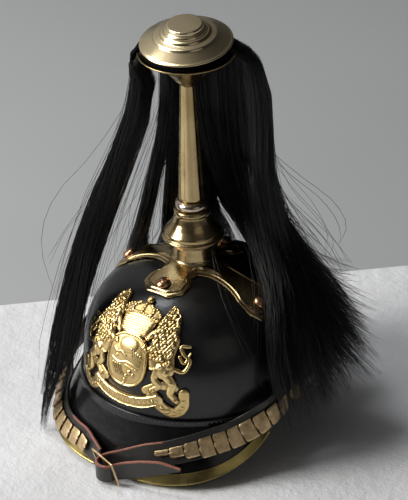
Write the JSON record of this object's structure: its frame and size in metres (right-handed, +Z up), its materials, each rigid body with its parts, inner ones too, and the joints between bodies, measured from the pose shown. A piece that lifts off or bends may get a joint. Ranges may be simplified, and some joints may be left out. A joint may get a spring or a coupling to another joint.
{
  "type": "spiked helmet",
  "caption": "Black leather spiked parade helmet with brass cross base, plume stem, horsehair plume, relief crest and scaled chin strap.",
  "frame": {"origin": "bottom centre of the bounding box, on the table the helmet stands on", "axes": "+Z up along the plume stem; the front of the helmet faces -Y, and +X is the wearer's left"},
  "size_m": [0.2456, 0.2792, 0.3649],
  "materials": {
    "black_leather": "glossy varnish over fine grained leather",
    "strap_leather": "semi-gloss black face, raw red-tan edges",
    "brass": "polished, lightly worn",
    "gilt": "cast relief, polished on the heights",
    "scale_brass": "dull, lightly brushed",
    "copper": "polished, copper toned",
    "silver": "nickel plated, lightly worn",
    "horsehair": "long straight hair with a soft sheen"
  },
  "bodies": {
    "root": {"skull": "black_leather", "front_visor": "black_leather", "rear_visor": "black_leather", "visor_trim": "brass", "cross_base": "brass", "stud_front": "copper", "stud_back": "copper", "stud_left": "copper", "stud_right": "copper", "stem_collar": "brass", "bead_ring": "silver", "plume_stem": "brass", "plume_cap": "brass", "plume": "horsehair", "crest": "gilt", "strap_right": "strap_leather", "strap_left": "strap_leather", "scale_right_01": "scale_brass", "scale_right_02": "scale_brass", "scale_right_03": "scale_brass", "scale_right_04": "scale_brass", "scale_right_05": "scale_brass", "scale_right_06": "scale_brass", "scale_right_07": "scale_brass", "scale_right_08": "scale_brass", "scale_right_09": "scale_brass", "scale_right_10": "scale_brass", "scale_left_01": "scale_brass", "scale_left_02": "scale_brass", "scale_left_03": "scale_brass", "scale_left_04": "scale_brass", "scale_left_05": "scale_brass", "scale_left_06": "scale_brass", "scale_left_07": "scale_brass", "scale_left_08": "scale_brass", "scale_left_09": "scale_brass", "scale_left_10": "scale_brass", "scale_left_11": "scale_brass", "scale_left_12": "scale_brass", "buckle_frame": "brass", "chin_boss_right": "brass", "chin_boss_left": "brass"}
  },
  "joints": []
}
